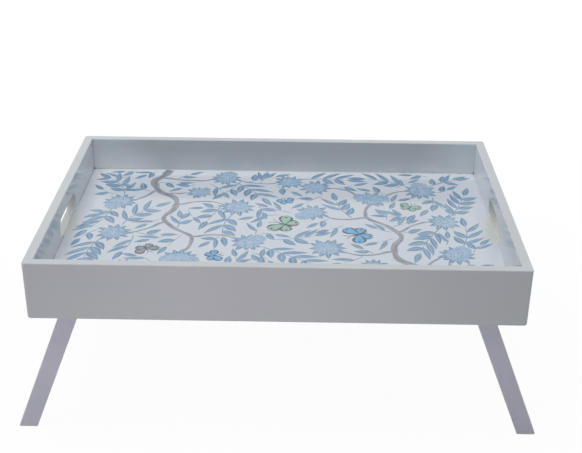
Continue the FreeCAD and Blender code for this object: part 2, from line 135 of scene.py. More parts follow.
class Shader:
    """A material and short ways to add nodes to it."""

    def __init__(self, name):
        self.material = bpy.data.materials.new(name)
        self.material.use_nodes = True
        self.tree = self.material.node_tree
        self.surface = self.tree.nodes["Principled BSDF"]
        self.place = self.add("ShaderNodeTexCoord").outputs["Object"]

    def add(self, kind, **settings):
        """Add a node with its settings."""
        node = self.tree.nodes.new(kind)
        for key, value in settings.items():
            setattr(node, key, value)
        return node

    def wire(self, start, end):
        """Link an output to a socket."""
        self.tree.links.new(start, end)

    def feed(self, socket, value):
        """Give a socket an output or a constant."""
        if isinstance(value, bpy.types.NodeSocket):
            self.wire(value, socket)
        else:
            socket.default_value = value

    def fixed(self, **values):
        """Set constant sockets of the surface shader by name."""
        for key, value in values.items():
            self.surface.inputs[key.replace("_", " ")].default_value = value

    def paint(self, colour):
        """Let an output colour the surface."""
        self.wire(colour, self.surface.inputs["Base Color"])

    def axes(self):
        """The place's x, y and z, and its distances from the middle along x and y."""
        node = self.add("ShaderNodeSeparateXYZ")
        self.wire(self.place, node.inputs[0])
        x, y, z = node.outputs
        return x, y, z, self.reckon("ABSOLUTE", x), self.reckon("ABSOLUTE", y)

    def noise(self, size, detail=2.0, stretch=None):
        """A noise whose grains are about the given size in metres."""
        node = self.add("ShaderNodeTexNoise")
        node.inputs["Scale"].default_value = 1 / size
        node.inputs["Detail"].default_value = detail
        place = self.place
        if stretch:
            mapping = self.add("ShaderNodeMapping")
            mapping.inputs["Scale"].default_value = stretch
            self.wire(place, mapping.inputs["Vector"])
            place = mapping.outputs["Vector"]
        self.wire(place, node.inputs["Vector"])
        return node.outputs["Fac"]

    def reckon(self, operation, *values):
        """One sum of numbers or outputs."""
        node = self.add("ShaderNodeMath", operation=operation)
        for socket, value in zip(node.inputs, values):
            self.feed(socket, value)
        return node.outputs[0]

    def product(self, first, *others):
        """The product of masks."""
        for other in others:
            first = self.reckon("MULTIPLY", first, other)
        return first

    def highest(self, first, *others):
        """The highest of masks."""
        for other in others:
            first = self.reckon("MAXIMUM", first, other)
        return first

    def spread(self, value, low, high, start=0.0, end=1.0):
        """Map a value from one range to another, held at both ends."""
        node = self.add("ShaderNodeMapRange")
        ranges = (("From Min", low), ("From Max", high), ("To Min", start), ("To Max", end))
        for name, number in ranges:
            node.inputs[name].default_value = number
        self.wire(value, node.inputs["Value"])
        return node.outputs["Result"]

    def ramp(self, value, base, offsets, start=0.0, end=1.0):
        """Map a value between two offsets from a base to a range, held at both ends."""
        return self.spread(value, base + offsets[0], base + offsets[1], start, end)

    def near(self, value, target, reach):
        """1 where a value is at the target, falling to 0 at a reach from it."""
        gap = self.reckon("ABSOLUTE", self.reckon("SUBTRACT", value, target))
        return self.spread(gap, 0.0, reach, 1.0, 0.0)

    def blend(self, factor, first, second):
        """Blend two colours by a factor."""
        node = self.add("ShaderNodeMix", data_type="RGBA")
        for number, value in ((0, factor), (6, first), (7, second)):
            self.feed(node.inputs[number], value)
        return node.outputs[2]

    def mottled(self, colour, share, grain, low=0.3, high=0.7):
        """A colour that is down to a share of its brightness where the grain is low."""
        return self.blend(self.spread(grain, low, high), darker(colour, share), colour)

    def bump(self, height, distance):
        """Raise the surface by a height output, distance metres at full height."""
        node = self.add("ShaderNodeBump")
        node.inputs["Distance"].default_value = distance
        self.wire(height, node.inputs["Height"])
        self.wire(node.outputs["Normal"], self.surface.inputs["Normal"])


# Dust and painted shade in the inner joints

# Pairs say where a mask starts and where it is full, as places or as offsets from a face or edge.
# Fours are the two values of a spread and what they become.
FACE_SKIN = (1.0 * MM, 0.4 * MM)
DUST_REACH = 1.4 * MM
CORNER_DUST = 0.5
END_WALL_BAND = (-3 * MM, -1.5 * MM)
LONG_WALL_DUST = 0.3
CLEAN_BY_HOLE = (-3 * MM, 0.0)
LEFTWARD = (-100 * MM, -250 * MM, 0.25, 1.0)
CORNER_SHADE_REACH, CORNER_SHADE_HEIGHT = 2.6 * MM, 3.0 * MM
CRUMB_REACH = 1.6 * MM
RIGHTWARD = (80 * MM, 140 * MM)
HOLE_END = -HOLE_REACH - 1.5 * MM
HOLE_END_REACH, HOLE_END_HEIGHT = 4 * MM, 2.4 * MM
DUST_PATCHES = (0.38, 0.62, 0.1, 0.9)
DUST_SPECKS = (0.66, 0.72, 0.0, 0.8)
DUST_CRUMBS = (0.52, 0.62, 0.0, 0.55)
CORNER_SHADE_DARKNESS = (0.1, 0.5, 0.0, 0.9)
HOLE_END_SHADE = (0.2, 0.7, 0.0, 0.8)


def inner_faces(shader, across, along):
    """1 on the inner faces of the walls and on all that they enclose, 0 behind them."""
    return shader.product(
        shader.ramp(across, INSIDE_X, FACE_SKIN), shader.ramp(along, INSIDE_Y, FACE_SKIN))


def dust_and_painted_shade(shader, axes, colour):
    """Darken a colour where walls and panel meet on the inside, most on the left, with dust and
    with painted shade.
    """
    x, y, z, across, along = axes
    inside = inner_faces(shader, across, along)
    leftward = shader.spread(x, *LEFTWARD)

    # Patches and specks along the joints, but not under the hand holes
    at_panel = shader.product(
        shader.near(z, PANEL_TOP, DUST_REACH),
        shader.ramp(across, INSIDE_X, END_WALL_BAND, LONG_WALL_DUST, 1.0))
    in_corner = shader.product(
        shader.near(across, INSIDE_X, DUST_REACH),
        shader.near(along, INSIDE_Y, DUST_REACH),
        CORNER_DUST)
    joint = shader.product(
        shader.highest(at_panel, in_corner), inside,
        shader.ramp(along, HOLE_REACH, CLEAN_BY_HOLE))
    patches = shader.spread(shader.noise(20 * MM, detail=3), *DUST_PATCHES)
    colour = shader.blend(shader.product(joint, patches, leftward), colour, JOINT_BROWN)
    specks = shader.spread(shader.noise(3.5 * MM), *DUST_SPECKS)
    colour = shader.blend(shader.product(joint, specks, leftward), colour, SPECK_BROWN)

    # Painted shade: dark gaps in the corners of the panel
    gap = shader.product(
        shader.near(across, INSIDE_X, CORNER_SHADE_REACH),
        shader.near(along, INSIDE_Y, CORNER_SHADE_REACH),
        shader.near(z, PANEL_TOP, CORNER_SHADE_HEIGHT),
        inside)
    colour = shader.blend(shader.spread(gap, *CORNER_SHADE_DARKNESS), colour, SPECK_BROWN)

    # Crumbs along the right half of the back wall
    crumbs = shader.product(
        shader.near(z, PANEL_TOP, CRUMB_REACH),
        shader.near(y, INSIDE_Y, CRUMB_REACH),
        shader.spread(x, *RIGHTWARD),
        shader.spread(shader.noise(6 * MM, detail=3), *DUST_CRUMBS))
    colour = shader.blend(crumbs, colour, SPECK_BROWN)

    # Painted shadow: a dark spot at the front end of each hand hole, mostly the left one
    hole_end_shade = shader.product(
        shader.near(y, HOLE_END, HOLE_END_REACH),
        shader.near(z, PANEL_TOP, HOLE_END_HEIGHT),
        inside, leftward)
    return shader.blend(shader.spread(hole_end_shade, *HOLE_END_SHADE), colour, SPECK_BROWN)


# Wall lacquer

PAINTED_LIGHT_BELOW_RIM = 16 * MM
CORNER_LIGHT_X = (-85 * MM, -25 * MM)
CORNER_LIGHT_Y = (-175 * MM, -95 * MM)
FOOT_HEIGHT = (40 * MM, 4 * MM)
FOOT_DEPTH = (-2 * MM, -1 * MM)
FOOT_ENDS = (-105 * MM, -58 * MM)
FOOT_LEFTWARD = (-100 * MM, 100 * MM, 1.0, 0.3)
CUT_INNER, CUT_OUTER = (0.4 * MM, 1.6 * MM), (-0.4 * MM, -1.6 * MM)
CUT_BELOW_RIM = (-6 * MM, -10 * MM)
CUT_HALF_LENGTH = (60 * MM, 54 * MM)
LIP_HEIGHT = (3.2 * MM, 2.0 * MM)
LIP_ENDS = (0.0, -5 * MM)
INNER_WEAR, OUTER_WEAR = 1.2 * MM, 5 * MM
WEAR_DEPTH = (-1.2 * MM, -0.3 * MM)
GREEN_TINT = (0.4, 0.6, 0.0, 0.8)
WORN_STRETCHES = (0.56, 0.66, 0.0, 0.8)


def wall_lacquer():
    """Gloss lacquer on board, finely uneven from spraying."""
    shader = Shader("wall_lacquer")
    shader.fixed(Roughness=0.05, IOR=1.5)
    axes = x, y, z, across, along = shader.axes()
    colour = shader.mottled(WALL_GREY, 0.965, shader.noise(90 * MM))
    tint = shader.spread(shader.noise(210 * MM, detail=1), *GREEN_TINT)
    colour = shader.blend(tint, colour, WALL_GREEN)

    # Painted light: the inner faces are paler low down, where light comes up from the panel, and
    # towards the back corners, against their shade
    within = inner_faces(shader, across, along)
    lit_low_down = shader.spread(z, RIM - PAINTED_LIGHT_BELOW_RIM, PANEL_TOP)
    in_corner = shader.product(
        shader.ramp(across, INSIDE_X, CORNER_LIGHT_X), shader.ramp(y, INSIDE_Y, CORNER_LIGHT_Y))
    painted_light = shader.product(within, shader.highest(lit_low_down, in_corner))
    colour = shader.blend(painted_light, colour, WALL_PAINTED_LIGHT)

    # Painted light: palest at the foot of the back wall near its ends, mostly the left one
    foot = shader.product(
        shader.ramp(z, PANEL_TOP, FOOT_HEIGHT),
        shader.ramp(y, INSIDE_Y, FOOT_DEPTH),
        shader.ramp(across, INSIDE_X, FOOT_ENDS),
        shader.spread(x, *FOOT_LEFTWARD),
        within)
    colour = shader.blend(foot, colour, WALL_PAINTED_LIGHTEST)

    # Painted light: the cut faces of the hand holes, and the walls' edge under them, are creamier
    # and lighter, where light comes in through the holes
    cut = shader.product(
        shader.ramp(across, INSIDE_X, CUT_INNER),
        shader.ramp(across, OUTSIDE_X, CUT_OUTER),
        shader.ramp(z, RIM, CUT_BELOW_RIM),
        shader.spread(along, *CUT_HALF_LENGTH))
    lip = shader.product(
        shader.ramp(z, PANEL_TOP, LIP_HEIGHT),
        shader.ramp(across, OUTSIDE_X, CUT_OUTER),
        shader.ramp(along, HOLE_REACH, LIP_ENDS))
    colour = shader.blend(shader.highest(cut, lip), colour, CUT_LIGHT_CREAM)

    # It is rubbed thin in short stretches along the rim's edges
    edge = shader.highest(
        shader.near(across, INSIDE_X, INNER_WEAR),
        shader.near(along, INSIDE_Y, INNER_WEAR),
        shader.near(across, OUTSIDE_X, OUTER_WEAR),
        shader.near(along, OUTSIDE_Y, OUTER_WEAR))
    stretches = shader.spread(shader.noise(30 * MM, detail=5), *WORN_STRETCHES)
    rubbed = shader.product(edge, shader.ramp(z, RIM, WEAR_DEPTH), stretches)
    colour = shader.blend(rubbed, colour, WEAR_BEIGE)

    shader.paint(dust_and_painted_shade(shader, axes, colour))
    shader.bump(shader.noise(4.5 * MM, detail=1), 0.003 * MM)
    return shader.material


def joint_bead():
    """The lacquer that has filled the corner between walls and panel, with dust in it, painted
    shade in the corners and painted light by the hand holes.
    """
    shader = Shader("joint_bead")
    shader.fixed(Roughness=0.3, IOR=1.5)
    axes = shader.axes()
    colour = shader.mottled(BEAD_GREY, 0.96, shader.noise(30 * MM))
    along = axes[-1]
    # Painted light: cream by the hand holes, where light falls in through them
    colour = shader.blend(shader.ramp(along, HOLE_REACH, LIP_ENDS), colour, HOLE_LIGHT_CREAM)
    shader.paint(dust_and_painted_shade(shader, axes, colour))
    shader.bump(shader.noise(6 * MM, detail=1), 0.02 * MM)
    return shader.material


def leg_lacquer():
    """Satin lacquer on solid wood, with the grain just telegraphing through."""
    shader = Shader("leg_lacquer")
    shader.fixed(Roughness=0.34, IOR=1.5)
    shader.paint(shader.mottled(LEG_GREY, 0.95, shader.noise(60 * MM)))
    grain = shader.noise(4 * MM, detail=3, stretch=(1.0, 1.0, 0.12))
    shader.bump(grain, 0.03 * MM)
    return shader.material


# Panel and print

VARNISH_ROUGHNESS, UNDER_ROUGHNESS = 0.1, 0.45
PAINTED_LIGHT_BACK = (50 * MM, INSIDE_Y - 10 * MM, 0.0, 0.7)
PAINTED_LIGHT_FRONT = (-45 * MM, -INSIDE_Y, 0.0, 0.4)
PAINTED_LIGHT_BY_LEFT_WALL = (50 * MM, 8 * MM)
PAINTED_LIGHT_BY_BACK_WALL = (-28 * MM, -3 * MM)
HOLE_LIGHT_BY_WALL = (-15 * MM, -5 * MM)
HOLE_LIGHT_BY_HOLE, HOLE_LIGHT_SHARE = (4 * MM, -14 * MM), 0.85
UNDER_DEPTH = (-1.0 * MM, -2.0 * MM)
INK_LAYER = "ink"
INK_WASH = (0.3, 0.7, 0.0, 0.2)
INK_STROKES = (0.35, 0.65, 0.0, 0.16)


def varnish(shader):
    """The gloss varnish over panel and print."""
    shader.fixed(Roughness=VARNISH_ROUGHNESS, IOR=1.5)
    shader.bump(shader.noise(6 * MM, detail=1), 0.005 * MM)


def panel_board():
    """White lacquered board under gloss varnish, grey and matt underneath."""
    shader = Shader("printed_panel")
    x, y, z, across, along = shader.axes()
    colour = shader.mottled(PANEL_WHITE, 0.975, shader.noise(120 * MM))

    # Painted light: paler along the back wall and the left wall, most towards their corner
    painted_light = shader.highest(shader.spread(y, *PAINTED_LIGHT_BACK), shader.spread(y, *PAINTED_LIGHT_FRONT))
    painted_light = shader.product(painted_light, shader.ramp(x, -INSIDE_X, PAINTED_LIGHT_BY_LEFT_WALL))
    painted_light = shader.highest(painted_light, shader.ramp(y, INSIDE_Y, PAINTED_LIGHT_BY_BACK_WALL))
    colour = shader.blend(painted_light, colour, PANEL_PAINTED_LIGHT)

    # Painted light: a cream patch by the hand holes, where light falls in through them
    hole_light = shader.product(
        shader.ramp(across, INSIDE_X, HOLE_LIGHT_BY_WALL),
        shader.ramp(along, HOLE_REACH, HOLE_LIGHT_BY_HOLE, 0.0, HOLE_LIGHT_SHARE))
    colour = shader.blend(hole_light, colour, HOLE_LIGHT_CREAM)

    under = shader.ramp(z, PANEL_TOP, UNDER_DEPTH)
    shader.paint(shader.blend(under, colour, PANEL_UNDER))
    varnish(shader)
    roughness = shader.spread(under, 0.0, 1.0, VARNISH_ROUGHNESS, UNDER_ROUGHNESS)
    shader.wire(roughness, shader.surface.inputs["Roughness"])
    return shader.material


def print_ink():
    """Printed colour read from the shapes, with a watercolour unevenness."""
    shader = Shader("print_ink")
    ink = shader.add("ShaderNodeVertexColor", layer_name=INK_LAYER).outputs["Color"]
    wash = shader.spread(shader.noise(7 * MM, detail=3), *INK_WASH)
    colour = shader.blend(wash, ink, PANEL_WHITE)
    strokes = shader.spread(shader.noise(2.2 * MM, stretch=(0.35, 1.0, 1.0)), *INK_STROKES)
    shader.paint(shader.blend(strokes, colour, LEAF_BLUES[2]))
    varnish(shader)
    return shader.material


# Screws, inserts, washers and splines

def metal(name, colour, roughness):
    """Plated or turned metal with fine machining marks."""
    shader = Shader(name)
    shader.fixed(Metallic=1.0)
    marks = shader.noise(0.6 * MM)
    shader.paint(shader.mottled(colour, 0.86, marks))
    rough = shader.spread(marks, 0.3, 0.7, roughness * 0.8, roughness * 1.2)
    shader.wire(rough, shader.surface.inputs["Roughness"])
    shader.bump(marks, 0.01 * MM)
    return shader.material


def nylon():
    """Natural nylon, slightly mottled."""
    shader = Shader("nylon")
    shader.fixed(Roughness=0.5)
    shader.paint(shader.mottled(NYLON, 0.94, shader.noise(4 * MM)))
    return shader.material


def bare_wood():
    """Bare beech with its flecks along the grain."""
    shader = Shader("bare_wood")
    shader.fixed(Roughness=0.6)
    grain = shader.noise(3 * MM, detail=4, stretch=(1.0, 1.0, 0.1))
    shader.paint(shader.mottled(BEECH, 0.8, grain, 0.35, 0.65))
    shader.bump(grain, 0.05 * MM)
    return shader.material


MATERIALS = {
    "wall_lacquer": wall_lacquer(),
    "printed_panel": panel_board(),
    "leg_lacquer": leg_lacquer(),
    "bare_wood": bare_wood(),
    "zinc_steel": metal("zinc_steel", ZINC, 0.3),
    "insert_brass": metal("insert_brass", BRASS, 0.25),
    "nylon": nylon(),
}
for entry in frame["record"]["subparts"]:
    node = frame["nodes"][entry["node"]]
    node.data.materials.clear()
    node.data.materials.append(MATERIALS[entry["material_slot"]])


# A bead of lacquer fills the corner between the walls and the panel

BEAD_REACH = 0.9 * MM
BEAD_STEPS = 4


def lacquer_bead():
    """Run a hollow-faced bead once round the panel, against all four walls."""
    section = [(0.0, 0.0)]
    for step in range(BEAD_STEPS + 1):
        turn = math.pi / 2 * step / BEAD_STEPS
        section.append((BEAD_REACH * (1 - math.cos(turn)), BEAD_REACH * (1 - math.sin(turn))))
    points = [(x_sign * (INSIDE_X - inwards), y_sign * (INSIDE_Y - inwards), PANEL_TOP + up)
              for x_sign, y_sign in CORNERS for inwards, up in section]
    count = len(section)
    faces = []
    for corner in range(len(CORNERS)):
        here, there = corner * count, (corner + 1) % len(CORNERS) * count
        for step in range(count):
            following = (step + 1) % count
            faces.append((here + step, here + following, there + following, there + step))
    mesh = bpy.data.meshes.new("lacquer_bead")
    mesh.from_pydata(points, [], faces)
    mesh.materials.append(joint_bead())
    piece = add_object("lacquer_bead", mesh)
    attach(piece, "tray")


lacquer_bead()


# The print: a generic trailing plant of flat ribbons

random.seed(23)
PRINT_FOOT = 0.05 * MM
PRINT_HEIGHT = 0.03 * MM
PRINT_STEP = 0.001 * MM
PRINT_MARGIN = 1.6 * MM
END_MARGIN = 9 * MM
SIDE_MARGIN = 3 * MM
ALONG_X = Vector((1, 0))


def within_print(point):
    """The nearest place on the printed area, so that a stem's foot is cut off at its edge."""
    far_x, far_y = INSIDE_X - PRINT_MARGIN, INSIDE_Y - PRINT_MARGIN
    return Vector((max(-far_x, min(far_x, point.x)), max(-far_y, min(far_y, point.y))))


class Print:
    """Collects ribbons into one mesh of closed flat shapes."""

    def __init__(self, name, lowest, steps):
        """The sheet's heights are so many steps of PRINT_STEP, counted from the lowest."""
        self.name = name
        self.points = []
        self.faces = []
        self.colours = []
        self.lowest = lowest
        self.steps = steps
        self.set_step(0)

    def set_step(self, step):
        """Print what follows at a step of the sheet's own height."""
        self.step = step % self.steps
        self.level = PANEL_TOP + PRINT_HEIGHT + (self.lowest + self.step) * PRINT_STEP

    def raise_level(self):
        """Print what follows a little higher; after the last step it starts again."""
        self.set_step(self.step + 1)

    def ribbon(self, path, widths, rib, colours):
        """Add a ribbon along a path, pointed at both ends.

        It has half widths, the rib's share of them, and colours of left side, rib and right side.
        """
        lines = (1, rib, -rib, -1)
        rows = []
        for index, (point, width) in enumerate(zip(path, widths)):
            first = len(self.points)
            if index in (0, len(path) - 1):
                places = [point]
                rows.append([first] * len(lines))
            else:
                way = (path[index + 1] - path[index - 1]).normalized()
                side = Vector((-way.y, way.x))
                places = [point + side * width * share for share in lines]
                rows.append(list(range(first, first + len(lines))))
            self.points += [Vector((*within_print(place), self.level)) for place in places]
        for near_row, far_row in zip(rows, rows[1:]):
            for lane, colour in enumerate(colours):
                corners = [near_row[lane + 1], far_row[lane + 1], far_row[lane], near_row[lane]]
                self.face(list(dict.fromkeys(corners)), colour)
        rim = [row[-1] for row in rows] + [row[0] for row in reversed(rows[1:-1])]
        below = {number: len(self.points) + place for place, number in enumerate(rim)}
        floor = PANEL_TOP - PRINT_FOOT
        self.points += [Vector((*self.points[number].xy, floor)) for number in rim]
        for first, second in zip(rim, rim[1:] + rim[:1]):
            self.face([first, below[first], below[second], second], colours[0])
        self.face([below[number] for number in reversed(rim)], colours[0])

    def face(self, corners, colour):
        """Add a face of one colour."""
        self.faces.append(corners)
        self.colours.append(colour)

    def finish(self):
        """Make the mesh, with its colours on the corners."""
        mesh = bpy.data.meshes.new(self.name)
        mesh.from_pydata(self.points, [], self.faces)
        layer = mesh.color_attributes.new(INK_LAYER, "FLOAT_COLOR", "CORNER")
        for polygon, colour in zip(mesh.polygons, self.colours):
            for corner in polygon.loop_indices:
                layer.data[corner].color = colour
        mesh.materials.append(PRINT_INK)
        mesh.validate()
        piece = add_object(self.name, mesh)
        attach(piece, "tray")


def turned(way, degrees):
    """A plan direction turned anticlockwise."""
    return Matrix.Rotation(math.radians(degrees), 2) @ way


def arc_path(start, way, length, bend, count):
    """Points along a gently bending line; bend is the whole turn in degrees."""
    points = [start.copy()]
    step = length / (count - 1)
    for index in range(count - 1):
        heading = turned(way, bend * (index + 0.5) / (count - 1))
        points.append(points[-1] + heading * step)
    return points


def smooth_path(knots, count):
    """Points along a curve that passes through the knots."""
    knots = [Vector(knot) for knot in knots]
    ends = [2 * knots[0] - knots[1]] + knots + [2 * knots[-1] - knots[-2]]
    points = []
    spans = len(knots) - 1
    for index in range(count):
        place = index * spans / (count - 1)
        span = min(int(place), spans - 1)
        t = place - span
        a, b, c, d = ends[span:span + 4]
        points.append(0.5 * (2 * b + (c - a) * t + (2 * a - 5 * b + 4 * c - d) * t * t
                             + (3 * b - a - 3 * c + d) * t * t * t))
    return points


def bulge(count, skew, power=1.0):
    """Widths from 0 to 1 and back to 0; the skew moves the widest place, the power fills it out."""
    return [math.sin(math.pi * (index / (count - 1)) ** skew) ** power for index in range(count)]


class Ground:
    """Remembers as circles what is printed where, so that shapes keep clear of each other."""

    def __init__(self):
        self.places = np.empty((0, 2))
        self.reaches = np.empty(0)

    def free(self, points, reach):
        """How many of the points are on the printed area and clear of everything by the reach."""
        far_x, far_y = INSIDE_X - END_MARGIN, INSIDE_Y - SIDE_MARGIN - reach
        count = 0
        for point in points:
            inside = abs(point.x) < far_x and abs(point.y) < far_y
            gaps = np.hypot(*(self.places - (point.x, point.y)).T) - self.reaches
            count += inside and not (gaps < reach).any()
        return count

    def take(self, points, reach):
        """Remember a circle of the given radius round each point."""
        self.places = np.vstack([self.places, [(point.x, point.y) for point in points]])
        self.reaches = np.append(self.reaches, [reach] * len(points))


ground = Ground()
PRINT_INK = print_ink()
# Each sheet's lowest step and how many it has
leaves = Print("printed_leaves", 0, 31)
stems = Print("printed_stems", 31, 19)
wood = Print("printed_branches", 50, 11)
flowers = Print("printed_flowers", 61, 127)
creatures = Print("printed_butterflies", 188, 17)


# Leaves and sprays, with half widths

# A leaf keeps circles round its middle clear, whose radius is its room times its width
LEAF_STATIONS = 9
LEAF_MIDDLE = slice(3, 8, 2)
LEAF_LENGTH, LEAF_WIDTH = 29 * MM, 4.7 * MM
LEAF_SKEW, LEAF_RIB, LEAF_ROOM = 0.78, 0.09, 0.62
SHAPE_GAP = 0.2 * MM

NODE_SPACING = 16.5 * MM
STEM_WIDTH, STEM_TAPER, STEM_RIB = 0.95 * MM, 0.5, 0.5
STEM_GAP, STEM_REACH = 1.2 * MM, 0.4 * MM
SIZE_AT_ENDS, SIZE_SWELL, SIZE_RANGE = 0.8, 0.3, (0.94, 1.06)
# Shares of length and width and further lean of the leaflets on a stem's two sides
BROAD_LEAFLET = (0.86, 1.18, 18)
NARROW_LEAFLET = (1.2, 0.84, 4)
LEAN_LOSS, LEAFLET_BEND = 8, 16
LENGTH_RANGE, BEND_RANGE, LEAN_RANGE = (0.85, 1.15), (-45, 45), (40, 48)


def leaf_room(start, way, length, width, bend):
    """Whether the middle of a leaf would be clear of everything."""
    middle = arc_path(start, way, length, bend, LEAF_STATIONS)[LEAF_MIDDLE]
    return ground.free(middle, LEAF_ROOM * width + SHAPE_GAP) == len(middle)


def leaf(start, way, length, width, bend):
    """A lance-shaped leaf with a pale rib."""
    path = arc_path(start, way, length, bend, LEAF_STATIONS)
    blue, other = random.sample(LEAF_BLUES, 2)
    leaves.raise_level()
    widths = [width * share for share in bulge(LEAF_STATIONS, LEAF_SKEW)]
    leaves.ribbon(path, widths, LEAF_RIB, (blue, RIB_PALE, other))
    ground.take(path[LEAF_MIDDLE], LEAF_ROOM * width)


def leaf_places(start, way, length, bend, lean, scale):
    """A spray's stem, and the start, direction, length, half width and bend of its leaves."""
    nodes = max(2, round(length / NODE_SPACING))
    path = arc_path(start, way, length, bend, 2 * nodes + 1)
    places = []
    broad_side = random.choice((1, -1))
    for index in range(2, 2 * nodes, 2):
        heading = (path[index + 1] - path[index - 1]).normalized()
        share = index / (2 * nodes)
        size = (SIZE_AT_ENDS + SIZE_SWELL * math.sin(math.pi * share)) * random.uniform(*SIZE_RANGE)
        for side in (1, -1):
            long, wide, more = BROAD_LEAFLET if side == broad_side else NARROW_LEAFLET
            leaf_way = turned(heading, side * (lean + more - LEAN_LOSS * share))
            places.append((path[index], leaf_way, LEAF_LENGTH * size * long * scale,
                           LEAF_WIDTH * size * wide * scale, -side * LEAFLET_BEND))
    tip_way = (path[-1] - path[-2]).normalized()
    places.append((path[-1], tip_way, LEAF_LENGTH * scale, LEAF_WIDTH * scale, 0))
    return path, places


def spray(start, way, length, turns, scale=1.0, tries=30, needed=0.75):
    """A feathered leaf: of a few tries the one that has room for most leaves is drawn, if any."""
    best = None, []
    for _ in range(tries):
        heading = turned(way, random.uniform(*turns))
        path, places = leaf_places(
            start, heading, length * random.uniform(*LENGTH_RANGE), random.uniform(*BEND_RANGE),
            random.uniform(*LEAN_RANGE), scale)
        outer = path[len(path) // 3:]
        if ground.free(outer, STEM_GAP) < len(outer):
            continue
        kept = [place for place in places if leaf_room(*place)]
        enough = kept[-1:] == places[-1:] and len(kept) >= needed * len(places)
        if enough and len(kept) > len(best[1]):
            best = path, kept
    path, kept = best
    if not kept:
        return False
    stems.raise_level()
    widths = [STEM_WIDTH * scale * (1 - STEM_TAPER * index / len(path))
              for index in range(len(path))]
    stems.ribbon(path, widths, STEM_RIB, (STEM_BLUE,) * 3)
    ground.take(path[1:], STEM_REACH)
    for place in kept:
        leaf(*place)
    return True


# Flower heads, in shares of the radius

# How many petals a ring has and how far they reach; PETAL_BREADTH is shared out among them
PETAL_RINGS = ((13, 1.0), (10, 0.74), (7, 0.48))
PETAL_BREADTH, PETAL_FOOT, PETAL_RIB = 3.1, 0.08, 0.84
PETAL_STATIONS, PETAL_SKEW, PETAL_POWER = 7, 2.2, 0.5
DISC_SHARE, DISC_POINTS, DISC_RIB = 0.9, 13, 0.4
HEART_DOTS, HEART_REACH, HEART_DOT, DOT_POINTS = 6, 0.14, 0.05, 5
FLOWER_ROOM = 0.9
RAY_COUNT, RAY_REACHES, RAY_BENDS = 12, (0.8, 1.0), (-18, 18)
RAY_FOOT, RAY_SKEW, RAY_WIDTH, RAY_RIB = 0.06, 1.1, 0.15, 0.14

# A posy's heads: distance from its middle and size in shares of the radius, and angle
POSY_HEADS = ((0.1, 1.0, 0), (1.0, 0.82, 70), (0.9, 0.74, -80))
POSY_STAR = 1.62
POSY_EDGE = 1.2


def disc(sheet, centre, radius, colour, count):
    """A round dot as a ribbon across it."""
    turns = [math.pi * index / (count - 1) for index in range(count)]
    path = [centre + Vector((-radius * math.cos(turn), 0)) for turn in turns]
    sheet.ribbon(path, [radius * math.sin(turn) for turn in turns], DISC_RIB, (colour,) * 3)


def flower(centre, radius):
    """An open flower: rings of rounded, pale-edged petals over a disc, and a dotted heart."""
    first = random.uniform(0, 360)
    flowers.raise_level()
    disc(flowers, centre, radius * DISC_SHARE, PETAL_BLUES[1], DISC_POINTS)
    shape = bulge(PETAL_STATIONS, PETAL_SKEW, PETAL_POWER)
    for petals, share in PETAL_RINGS:
        wide = PETAL_BREADTH * radius * share / petals
        for index in range(petals):
            flowers.raise_level()
            way = turned(ALONG_X, first * share + 360 * index / petals)
            foot = centre + way * radius * PETAL_FOOT
            path = arc_path(foot, way, radius * (share - PETAL_FOOT), 0, PETAL_STATIONS)
            colours = (PETAL_LINE, random.choice(PETAL_BLUES), PETAL_LINE)
            flowers.ribbon(path, [wide * part for part in shape], PETAL_RIB, colours)
    for index in range(HEART_DOTS):
        flowers.raise_level()
        dot = centre + turned(ALONG_X, 360 * index / HEART_DOTS) * radius * HEART_REACH
        disc(flowers, dot, radius * HEART_DOT, PETAL_LINE, DOT_POINTS)
    ground.take([centre], radius * FLOWER_ROOM)


def rosette(centre, radius):
    """Narrow leaves that spread like a star from one point."""
    first = random.uniform(0, 360)
    widths = [radius * RAY_WIDTH * part for part in bulge(LEAF_STATIONS, RAY_SKEW)]
    for index in range(RAY_COUNT):
        flowers.raise_level()
        way = turned(ALONG_X, first + 360 * index / RAY_COUNT)
        reach = radius * random.uniform(*RAY_REACHES)
        foot = centre + way * radius * RAY_FOOT
        path = arc_path(foot, way, reach, random.uniform(*RAY_BENDS), LEAF_STATIONS)
        blue, other = random.sample(LEAF_BLUES, 2)
        flowers.ribbon(path, widths, RAY_RIB, (blue, RIB_PALE, other))
    ground.take([centre], radius * FLOWER_ROOM)


def posy(centre, turn, heads, radius):
    """Flower heads that overlap on a star of narrow leaves."""
    flowers.set_step(0)
    rosette(centre, radius * POSY_STAR)
    for share, size, angle in POSY_HEADS[:heads]:
        way = turned(ALONG_X, turn + angle)
        flower(centre + way * radius * share, radius * size)


# Butterflies, in shares of the span

# Angle from the heading, length as a share of half the span, half width as a share of the length
WINGS = ((122, 0.74, 0.42), (58, 1.0, 0.36))
WING_STATIONS, WING_SKEW, WING_POWER, WING_RIB, WING_BEND = 9, 1.6, 0.7, 0.66, 14
SPOT_STATION, SPOT_SHIFT, SPOT_SIZE, SPOT_POINTS = 6, 0.3, 0.035, 7
BODY_STATIONS, BODY_SKEW = 7, 0.8
BODY_BACK, BODY_LENGTH, BODY_WIDTH = 0.24, 0.5, 0.045
FEELER_FOOT, FEELER_LENGTH, FEELER_ANGLE, FEELER_BEND = 0.22, 0.24, 18, 30
FEELER_STATIONS, FEELER_WIDTH = 5, 0.3 * MM
PLAIN_RIB = 0.5


